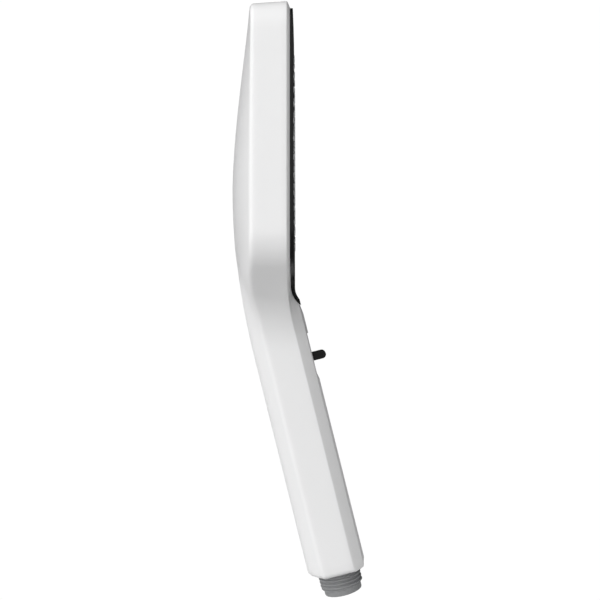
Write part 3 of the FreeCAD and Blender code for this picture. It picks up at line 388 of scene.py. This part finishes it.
def skinSolid(under):
    points, faces, weights = [], [], {}
    columns = [2 * j / shell["columns"] - 1 for j in range(shell["columns"] + 1)]
    last = len(rows) - 1

    def add(point):
        points.append(point)
        return len(points) - 1

    def boundary():
        # once round the outline: up the right side, over the top, down the left, along the end
        loop = []
        for k, (x, h, nx, nz, d) in enumerate(rows):
            corner = k == 0
            loop.append((x, h, nx, -1.0 if corner else nz, d, k, len(columns) - 1))
        for j in range(len(columns) - 2, 0, -1):
            loop.append((rows[last][0] * columns[j], rows[last][1], 0.0, 1.0, 1.0, last, j))
        for k in range(last, -1, -1):
            x, h, nx, nz, d = rows[k]
            loop.append((-x, h, -nx, -1.0 if k == 0 else nz, d, k, 0))
        for j in range(1, len(columns) - 1):
            loop.append((rows[0][0] * columns[j], rows[0][1], 0.0, -1.0, 0.0, 0, j))
        return loop

    def backAt(x, z):
        return backDepth(x, z) - under

    def frontAt(x, z):
        return handleFace(x, z) + under

    def creaseAt(x, z):
        return creaseDepth(z) + under

    loop = boundary()
    count = len(loop)
    back0, back1, front0, front1 = [], [], [], []
    for x, h, nx, nz, d, k, j in loop:
        end = k == 0
        y0 = onSurface(x, h, backAt)[1]
        slide = under + d * max(0.0, y0 - shell["rim"]) * draft
        px, ph = x - nx * slide, h - nz * slide
        back0.append(add(onSurface(px, ph, backAt)))
        ring = shell["backRing"]
        bx = px - nx * ring
        bh = ph - nz * (shell["endRing"] if end else ring)
        back1.append((bx, bh))
        slide = under + d * shell["bevelDeep"] * draft
        px, ph = x - nx * slide, h - nz * slide
        endFace = end and 0 < j < len(columns) - 1
        if endFace:
            px = shell["tongueHalf"] * columns[j] / columns[-2]
        front0.append(add(onSurface(px, ph, frontAt if endFace else creaseAt)))
        if end or (nx == 0.0 and nz > 0):
            reach = shell["endRing"] if end else shell["plateIn"] - shell["plateLap"]
        else:
            reach = insetToTongue(abs(x), h, abs(nx), nz)
        if endFace:
            front1.append((shell["tongueHalf"] * columns[j], ph - nz * reach))
        elif end:
            front1.append((px - nx * shell["endCorner"], ph - nz * reach))
        else:
            front1.append((px - nx * reach, ph - nz * reach))

    grids = []
    for ring, depthOf in ((back1, backAt), (front1, frontAt)):
        grid = [[None] * len(columns) for _ in rows]
        for (x, h, nx, nz, d, k, j), (px, ph) in zip(loop, ring):
            grid[k][j] = add(onSurface(px, ph, depthOf))
        for k in range(1, last):
            leftX, leftH = flat(points[grid[k][0]])
            rightX, rightH = flat(points[grid[k][-1]])
            for j in range(1, len(columns) - 1):
                f = (columns[j] + 1) / 2
                grid[k][j] = add(onSurface(leftX + (rightX - leftX) * f,
                                           leftH + (rightH - leftH) * f, depthOf))
        grids.append(grid)
    backGrid, frontGrid = grids
    for k in range(last):
        for j in range(len(columns) - 1):
            a, b, c, e = (backGrid[k][j], backGrid[k][j + 1], backGrid[k + 1][j + 1],
                          backGrid[k + 1][j])
            faces.append((a, e, c, b))
            a, b, c, e = (frontGrid[k][j], frontGrid[k][j + 1], frontGrid[k + 1][j + 1],
                          frontGrid[k + 1][j])
            faces.append((a, b, c, e))
    wallSteps = shell["wallSteps"]
    walls = []
    for i, (b, f) in enumerate(zip(back0, front0)):
        column = [f]
        for step in range(1, wallSteps):
            u = step / wallSteps
            column.append(add(tuple(p + (q - p) * u for p, q in zip(points[f], points[b]))))
        walls.append(column + [b])
    for i in range(count):
        n = (i + 1) % count
        here, there = loop[i], loop[n]
        fa, fb = frontGrid[here[5]][here[6]], frontGrid[there[5]][there[6]]
        ba, bb = backGrid[here[5]][here[6]], backGrid[there[5]][there[6]]
        faces.append((fa, walls[i][0], walls[n][0], fb))
        for step in range(wallSteps):
            faces.append((walls[i][step], walls[i][step + 1], walls[n][step + 1], walls[n][step]))
        faces.append((walls[i][-1], ba, bb, walls[n][-1]))
        atEnd = here[5] == 0 and there[5] == 0
        weights[(walls[i][-1], walls[n][-1])] = 1.0 if atEnd else shell["edgeRound"] / shell["endRound"]
        weights[(walls[i][0], walls[n][0])] = 1.0 if atEnd else shell["creaseRound"] / shell["endRound"]
        weights[(fa, fb)] = 0.0 if atEnd else shell["faceRound"] / shell["endRound"]
    for i in range(count):
        if loop[i][5] == 0 and loop[i][6] in (0, len(columns) - 1):
            for step in range(wallSteps):
                weights[(walls[i][step], walls[i][step + 1])] = 1.0
    return points, faces, weights


def flat(point):
    # the section a point belongs to, as its x and its height on the handle's axis line
    x, y, z = point
    height = z
    for _ in range(20):
        height = z - leanAt(height) * (height * tiltTan - y)
    return x, height


def handleFace(x, z):
    # the flat front with its shallow ridge, fading where the face plate starts
    ridge = shell["handleFront"] - shell["sideFront"] - shell["facetRise"]
    fade = 1 - smooth((z - shell["ridgeEnd"]) / shell["ridgeFade"])
    across = clamp(1 - abs(x) / shell["tongueHalf"])
    return frontDepth(z) - ridge * across * fade / tiltCos


def straightFaces(count):
    faces = [tuple(range(count)), tuple(range(2 * count - 1, count - 1, -1))]
    return faces + [(i, i + count, (i + 1) % count + count, (i + 1) % count) for i in range(count)]


def prism(name, outline, y0, y1):
    # a straight solid along y with this outline, its ends flat
    points = [(x, y, z) for y in (y0, y1) for x, z in outline]
    return meshObject(name, points, straightFaces(len(outline)), finishes["shell_white"])


def onHandle(x, n, t):
    # across, towards the front, and along the handle
    a = math.radians(shell["tilt"])
    return (x, t * math.sin(a) - n * math.cos(a), t * math.cos(a) + n * math.sin(a))


def handlePrism(name, side, wide):
    # a solid across the handle from its side outline (towards the front, along)
    points = [onHandle(x, n, t) for x in (-wide / 2, wide / 2) for n, t in side]
    return meshObject(name, points, straightFaces(len(side)), finishes["shell_white"])


def outward(obj):
    work = bmesh.new()
    work.from_mesh(obj.data)
    bmesh.ops.recalc_face_normals(work, faces=work.faces)
    work.to_mesh(obj.data)
    work.free()
    return obj


shellPoints, shellFaces, shellWeights = skinSolid(shell["under"])
skin = meshObject("bodyShell", shellPoints, shellFaces, finishes["shell_white"])
work = bmesh.new()
work.from_mesh(skin.data)
weightLayer = work.edges.layers.float.new("bevel_weight_edge")
work.verts.ensure_lookup_table()
for (a, b), weight in shellWeights.items():
    edge = work.edges.get((work.verts[a], work.verts[b]))
    if edge:
        edge[weightLayer] = weight
bmesh.ops.recalc_face_normals(work, faces=work.faces)
work.to_mesh(skin.data)
work.free()
rounding = skin.modifiers.new("rounded", "BEVEL")
rounding.limit_method = "WEIGHT"
rounding.width = shell["endRound"] * 0.001
rounding.segments = 4
rounding.use_clamp_overlap = False
finishMesh(skin)
print("skin", len(skin.data.polygons))

recess = {"middle": 115.8, "long": 23.6, "deep": 0.7, "ramp": 2.8, "slotHalf": 8.3,
          "slotWide": 8.6, "holeRound": 9.9, "floor": 14.2, "lip": 5.4, "openFrom": 152.8,
          "wide": 30.5, "clear": 6, "runOff": 24, "slotInner": 4, "slotOuter": 22,
          "openBack": 3, "openFront": 4.2, "holeSides": 72}
cutters = []
innerPoints, innerFaces, _ = skinSolid(shell["wall"])
cutters.append(meshObject("hollow", innerPoints, innerFaces, finishes["shell_white"]))
side, _ = outlineRight(shell["tongueHalf"] - recess["lip"] + shell["plateIn"],
                       shell["tongueRound"] + recess["lip"] - shell["plateIn"],
                       shell["tongueTurn"], recess["lip"])
right = [(x, z) for x, z, *rest in side if z > recess["openFrom"] + 0.5]
right.insert(0, (right[0][0], recess["openFrom"]))
cutters.append(prism("faceOpening", right + [(-x, z) for x, z in reversed(right)],
                     shell["rim"] - recess["openBack"], shell["rim"] + recess["openFront"]))
low, high = recess["middle"] - recess["long"] / 2, recess["middle"] + recess["long"] / 2
face = shell["handleFront"]
recessSide = [(face + recess["clear"], low - recess["runOff"]), (face, low),
              (face - recess["deep"], low + recess["ramp"]), (face - recess["deep"], high),
              (face + recess["clear"], high)]
cutters.append(handlePrism("recess", recessSide, recess["wide"]))
slotLow, slotHigh = recess["middle"] - recess["slotHalf"], recess["middle"] + recess["slotHalf"]
slotSide = [(recess["slotInner"], slotLow), (recess["slotOuter"], slotLow),
            (recess["slotOuter"], slotHigh), (recess["slotInner"], slotHigh)]
cutters.append(handlePrism("slot", slotSide, recess["slotWide"]))
turns = recess["holeSides"]
rims = [onHandle(recess["holeRound"] * math.cos(2 * math.pi * i / turns),
                 recess["holeRound"] * math.sin(2 * math.pi * i / turns), t)
        for t in (0, recess["floor"] + 1) for i in range(turns)]
cutters.append(meshObject("inletHole", rims, straightFaces(turns), finishes["shell_white"]))
for cutter in cutters:
    outward(cutter)
    cut = skin.modifiers.new(cutter.name, "BOOLEAN")
    cut.operation = "DIFFERENCE"
    cut.solver = "EXACT"
    cut.object = cutter
finishMesh(skin, 30.0)
for cutter in cutters:
    bpy.data.objects.remove(cutter)
print("shell", len(skin.data.polygons))
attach(skin, "shower")
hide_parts("body_shell")

# nozzle mat: a grey disc with one nozzle repeated over ring after ring
nozzle = {"depth": 25.8, "thick": 1.6, "radius": 51.5, "field": 46.5, "rings": 6,
          "base": 3.2, "tip": 2.4, "proud": 0.3, "bore": 0.95, "height": 215.0,
          "crown": 24.2, "edge": 24.5, "halfWide": 61.0, "sides": 16,
          "matRound": 0.35, "matSides": 128}


def plateLine(z):
    # the face plate's middle line: nearly flat, falling back near the top
    low, high = shell["tailHeight"], shell["top"] - shell["plateIn"]
    u = (z - low) / (high - low)
    start = shell["rim"] - 1.8
    return (start + (nozzle["crown"] - start) * min(1.0, u / 0.5)
            + (nozzle["edge"] - nozzle["crown"]) * max(0.0, (u - 0.5) / 0.5) ** 2.6)


def plateDepth(x, z):
    fall = (nozzle["edge"] - nozzle["crown"]) / nozzle["halfWide"] ** 2
    return plateLine(z) + fall * x * x


def lathed(profile, sides, place):
    # turned about its own axis; place moves (radius east, radius north, out) to the object
    points, faces = [], []
    for r, out in profile:
        for i in range(sides):
            a = 2 * math.pi * i / sides
            points.append(place(r * math.cos(a), r * math.sin(a), out))
    for row in range(len(profile) - 1):
        for i in range(sides):
            n = (i + 1) % sides
            faces.append((row * sides + i, row * sides + n, (row + 1) * sides + n,
                          (row + 1) * sides + i))
    faces.append(tuple(range(sides - 1, -1, -1)))
    faces.append(tuple(range((len(profile) - 1) * sides, len(profile) * sides)))
    return points, faces


def repeatTree(name, material):
    # puts one shape on every point of a mesh and makes the copies real
    tree = bpy.data.node_groups.new(name, "GeometryNodeTree")
    tree.interface.new_socket("Geometry", in_out="INPUT", socket_type="NodeSocketGeometry")
    shape = tree.interface.new_socket("Shape", in_out="INPUT", socket_type="NodeSocketObject")
    scale = tree.interface.new_socket("Scale", in_out="INPUT", socket_type="NodeSocketFloat")
    scale.default_value = 1.0
    tree.interface.new_socket("Geometry", in_out="OUTPUT", socket_type="NodeSocketGeometry")
    source, sink = tree.nodes.new("NodeGroupInput"), tree.nodes.new("NodeGroupOutput")
    info = tree.nodes.new("GeometryNodeObjectInfo")
    spread = tree.nodes.new("GeometryNodeInstanceOnPoints")
    real = tree.nodes.new("GeometryNodeRealizeInstances")
    dress = tree.nodes.new("GeometryNodeSetMaterial")
    dress.inputs["Material"].default_value = material
    link = tree.links.new
    link(source.outputs["Geometry"], spread.inputs["Points"])
    link(source.outputs["Shape"], info.inputs["Object"])
    link(info.outputs["Geometry"], spread.inputs["Instance"])
    link(source.outputs["Scale"], spread.inputs["Scale"])
    link(spread.outputs["Instances"], real.inputs["Geometry"])
    link(real.outputs["Geometry"], dress.inputs["Geometry"])
    link(dress.outputs["Geometry"], sink.inputs["Geometry"])
    return tree, shape.identifier, scale.identifier


def plainCopy(obj):
    made = bpy.data.meshes.new_from_object(obj.evaluated_get(bpy.context.evaluated_depsgraph_get()))
    obj.modifiers.clear()
    obj.data = made
    return obj


spots = [(0.0, 0.0)]
for ringNumber in range(1, nozzle["rings"] + 1):
    for i in range(6 * ringNumber):
        angle = 2 * math.pi * (i + 0.5 * (ringNumber % 2)) / (6 * ringNumber)
        reach = ringNumber * nozzle["field"] / nozzle["rings"]
        spots.append((reach * math.cos(angle), reach * math.sin(angle)))
spotPoints = [(x, plateDepth(x, nozzle["height"] + up) - nozzle["proud"], nozzle["height"] + up)
              for x, up in spots]
tipRadius, boreRadius = nozzle["tip"] / 2, nozzle["bore"] / 2
nozzleProfile = [(nozzle["base"] / 2, -2.6), (tipRadius + 0.06, -0.3), (tipRadius - 0.02, -0.08),
                 (tipRadius - 0.16, 0.0), (boreRadius + 0.1, 0.0), (boreRadius, -0.1),
                 (boreRadius - 0.05, -1.4)]
nozzlePoints, nozzleFaces = lathed(nozzleProfile, nozzle["sides"], lambda a, b, out: (a, -out, b))
oneNozzle = meshObject("oneNozzle", nozzlePoints, nozzleFaces, finishes["silicone_grey"])
outward(oneNozzle)
nozzles = meshObject("nozzleMat", spotPoints, [], finishes["silicone_grey"])
nozzleTree, shapeSocket, scaleSocket = repeatTree("nozzleRings", finishes["silicone_grey"])
spread = nozzles.modifiers.new("nozzleRings", "NODES")
spread.node_group = nozzleTree
spread[shapeSocket] = oneNozzle
spread[scaleSocket] = 1.0
plainCopy(nozzles)
bpy.data.objects.remove(oneNozzle)
depth, thick, matRound = nozzle["depth"], nozzle["thick"], nozzle["matRound"]
matRadius = nozzle["radius"]
matProfile = [(matRadius - matRound, -thick), (matRadius, -thick + matRound),
              (matRadius, -matRound), (matRadius - matRound, 0.0)]
matPoints, matFaces = lathed(matProfile, nozzle["matSides"],
                            lambda a, b, out: (a, depth + 0.02 - out, nozzle["height"] + b))
matDisc = meshObject("matDisc", matPoints, matFaces, finishes["silicone_grey"])
outward(matDisc)
work = bmesh.new()
work.from_mesh(nozzles.data)
work.from_mesh(matDisc.data)
work.to_mesh(nozzles.data)
work.free()
bpy.data.objects.remove(matDisc)
nozzles.data.materials.clear()
nozzles.data.materials.append(finishes["silicone_grey"])
for polygon in nozzles.data.polygons:
    polygon.material_index = 0
finishMesh(nozzles, 40.0)
print("nozzles", len(nozzles.data.polygons))
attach(nozzles, "shower")
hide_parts("nozzle_mat")

# inlet: turned in one piece with a true single-start thread
fitting = {"crest": 10.45, "root": 9.3, "pitch": 1.814, "from": 2.6, "to": 9.85, "crestWide": 0.36,
           "lip": 9.25, "lipRound": 0.45, "collar": 10.15, "collarTop": 11.15, "neck": 9.8,
           "top": 33.2, "spigot": 8.6, "groove": 7.24, "mouth": 7.62, "cell": 6.42,
           "clipFrom": 14.2, "clipTo": 15.4, "clipGroove": 8.6, "turns": 96, "threadSteps": 52,
           "bore": 4.95, "mouthDeep": 5.3, "grooves": (22.7, 28.2), "runOut": 0.9}


def threadRadius(t, angle):
    # crest, flank, root and flank again once each pitch, run out at both ends
    phase = ((t - fitting["from"]) / fitting["pitch"] - angle / (2 * math.pi)) % 1.0
    away = abs(phase - 0.5) * fitting["pitch"]
    flank = (fitting["pitch"] - 2 * fitting["crestWide"]) / 2
    rise = 1 - smooth((away - fitting["crestWide"] / 2) / flank)
    runOut = (smooth((t - fitting["from"]) / fitting["runOut"])
              * smooth((fitting["to"] - t) / fitting["runOut"]))
    return fitting["root"] + (fitting["crest"] - fitting["root"]) * rise * runOut


lip, spigot, groove, collar = fitting["lip"], fitting["spigot"], fitting["groove"], fitting["collar"]
mouth, mouthDeep, cell, top = fitting["mouth"], fitting["mouthDeep"], fitting["cell"], fitting["top"]
clipFrom, clipTo, steps = fitting["clipFrom"], fitting["clipTo"], fitting["threadSteps"]
# the whole section of the inlet as (radius, along); no radius means the thread sets it
outer = [(lip - fitting["lipRound"], 0.0), (lip - 0.13, 0.13), (lip, fitting["lipRound"]),
         (lip, 2.2), (fitting["root"], 2.35)]
outer += [(None, fitting["from"] + (fitting["to"] - fitting["from"]) * i / steps)
          for i in range(steps + 1)]
outer += [(collar - 0.2, 9.86), (collar, 10.05), (collar, fitting["collarTop"]),
          (fitting["neck"], fitting["collarTop"] + 0.04), (fitting["neck"], clipFrom),
          (fitting["clipGroove"], clipFrom + 0.02), (fitting["clipGroove"], clipTo),
          (9.2, clipTo + 0.02), (9.2, clipTo + 1.0), (spigot, clipTo + 1.02)]
for at in fitting["grooves"]:
    outer += [(spigot, at - 0.97), (groove, at - 0.95), (groove, at + 0.95), (spigot, at + 0.97)]
outer += [(spigot, top - 0.3), (spigot - 0.3, top), (fitting["bore"], top),
          (fitting["bore"], 24.3), (cell, 24.28), (cell, 6.52), (7.22, 6.5), (7.22, 5.32),
          (mouth, mouthDeep), (mouth, 0.5), (mouth + 0.4, 0.0)]
inletPoints, inletFaces = [], []
turnCount = fitting["turns"]
for radius, t in outer:
    for i in range(turnCount):
        angle = 2 * math.pi * i / turnCount
        r = threadRadius(t, angle) if radius is None else radius
        inletPoints.append(onHandle(r * math.cos(angle), r * math.sin(angle), t))
for row in range(len(outer)):
    up = (row + 1) % len(outer)
    for i in range(turnCount):
        n = (i + 1) % turnCount
        inletFaces.append((row * turnCount + i, row * turnCount + n, up * turnCount + n,
                           up * turnCount + i))
inlet = meshObject("inletConnector", inletPoints, inletFaces, finishes["inlet_grey"])
outward(inlet)
finishMesh(inlet, 42.0)
print("inlet", len(inlet.data.polygons))
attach(inlet, "shower")
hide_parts("inlet_connector")

# a pale floor that stays even to the eye
stageSettings = {"floor": cadBox[0][2] - 0.0005, "size": 6.0, "tone": 0.67, "glow": 1.02}
floorMesh = bpy.data.meshes.new("floor")
half = stageSettings["size"]
floorMesh.from_pydata([(-half, -half, stageSettings["floor"]), (half, -half, stageSettings["floor"]),
                       (half, half, stageSettings["floor"]), (-half, half, stageSettings["floor"])],
                      [], [(0, 1, 2, 3)])
floor = bpy.data.objects.new("floor", floorMesh)
scene.collection.objects.link(floor)
paleFloor = bpy.data.materials.new("paleFloor")
paleFloor.use_nodes = True
tree = paleFloor.node_tree
shader = tree.nodes["Principled BSDF"]
shader.inputs["Base Color"].default_value = (*[stageSettings["tone"]] * 3, 1)
shader.inputs["Roughness"].default_value = 0.8
seen = node(tree, "ShaderNodeLightPath")
glow = node(tree, "ShaderNodeEmission", in_Strength=stageSettings["glow"])
blend = node(tree, "ShaderNodeMixShader")
tree.links.new(seen.outputs["Is Camera Ray"], blend.inputs["Fac"])
tree.links.new(shader.outputs[0], blend.inputs[1])
tree.links.new(glow.outputs[0], blend.inputs[2])
tree.links.new(blend.outputs[0], tree.nodes["Material Output"].inputs["Surface"])
floorMesh.materials.append(paleFloor)
print("floor laid")

# the check valve's coil, its doubled points merged, as a piece of the shower
checkSpring = {"stroke": 0.0024, "merge": 0.000001, "joint": "check_valve"}
springMesh = frame["nodes"]["check_spring"].data.copy()
form = bmesh.new()
form.from_mesh(springMesh)
bmesh.ops.remove_doubles(form, verts=form.verts, dist=checkSpring["merge"])
form.to_mesh(springMesh)
form.free()
springPiece = bpy.data.objects.new("check_coil", springMesh)
scene.collection.objects.link(springPiece)
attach(springPiece, "shower")
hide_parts("check_spring")
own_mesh(springPiece)

# soft light from the left and behind, with a weak fill on the spray side
lightSettings = {"base": 0.44, "lean": (-1.62, 1.66, 0.16), "front": 0.32, "least": 0.03,
                 "seen": 1.02}
world = bpy.data.worlds.new("softStudio")
scene.world = world
world.use_nodes = True
tree = world.node_tree
tree.nodes.clear()
out = node(tree, "ShaderNodeOutputWorld")
way = node(tree, "ShaderNodeTexCoord")
lean = node(tree, "ShaderNodeVectorMath", operation="DOT_PRODUCT")
lean.inputs[1].default_value = lightSettings["lean"]
level = node(tree, "ShaderNodeMath", operation="ADD")
level.inputs[1].default_value = lightSettings["base"]
low = node(tree, "ShaderNodeMath", operation="MAXIMUM")
low.inputs[1].default_value = lightSettings["least"]
soft = node(tree, "ShaderNodeBackground")
plain = node(tree, "ShaderNodeBackground", in_Strength=lightSettings["seen"])
plain.inputs["Color"].default_value = (1, 1, 1, 1)
seen = node(tree, "ShaderNodeLightPath")
blend = node(tree, "ShaderNodeMixShader")
split = node(tree, "ShaderNodeSeparateXYZ")
fore = node(tree, "ShaderNodeMath", operation="MINIMUM")
fore.inputs[1].default_value = 0.0
foreSquared = node(tree, "ShaderNodeMath", operation="MULTIPLY")
fill = node(tree, "ShaderNodeMath", operation="MULTIPLY_ADD")
fill.inputs[1].default_value = lightSettings["front"]
tree.links.new(way.outputs["Generated"], split.inputs[0])
tree.links.new(split.outputs["Y"], fore.inputs[0])
tree.links.new(fore.outputs[0], foreSquared.inputs[0])
tree.links.new(fore.outputs[0], foreSquared.inputs[1])
tree.links.new(foreSquared.outputs[0], fill.inputs[0])
tree.links.new(low.outputs[0], fill.inputs[2])
tree.links.new(way.outputs["Generated"], lean.inputs[0])
tree.links.new(lean.outputs["Value"], level.inputs[0])
tree.links.new(level.outputs[0], low.inputs[0])
tree.links.new(fill.outputs[0], soft.inputs["Strength"])
tree.links.new(seen.outputs["Is Camera Ray"], blend.inputs["Fac"])
tree.links.new(soft.outputs[0], blend.inputs[1])
tree.links.new(plain.outputs[0], blend.inputs[2])
tree.links.new(blend.outputs[0], out.inputs["Surface"])

print("light set")
